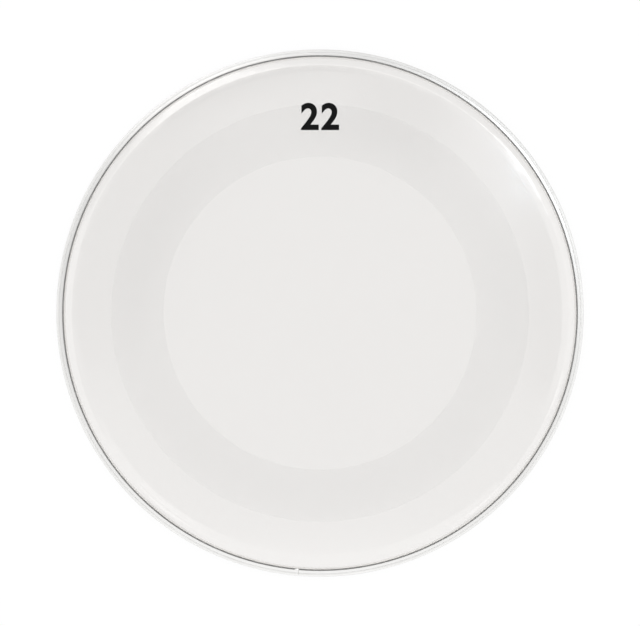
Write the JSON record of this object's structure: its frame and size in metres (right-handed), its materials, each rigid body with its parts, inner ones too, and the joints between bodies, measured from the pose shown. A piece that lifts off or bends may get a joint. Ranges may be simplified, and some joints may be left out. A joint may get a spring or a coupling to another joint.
{
  "type": "drum head",
  "caption": "Clear bass drum head: flat film with rounded shoulder and collar, locked into a rolled metal hoop, with a damping belt bonded under the film. Slips over the end of a drum shell.",
  "frame": {"origin": "centre of the hoop's underside", "axes": "+Z along the head's axis, out of the playing side; +Y towards the top of the playing side"},
  "size_m": [0.5808, 0.5808, 0.0195],
  "materials": {
    "hoop_metal": "satin rolled strip",
    "clear_film": "clear gloss polyester film",
    "lock_steel": "plain drawn bar",
    "sealant_resin": "dark cured resin",
    "belt_film": "clear polyester film",
    "belt_bond": "clear adhesive film"
  },
  "bodies": {
    "root": {"flesh_hoop": "hoop_metal", "batter_film": "clear_film", "lock_ring": "lock_steel", "edge_sealant": "sealant_resin", "overtone_belt": "belt_film", "belt_adhesive": "belt_bond"}
  },
  "joints": []
}
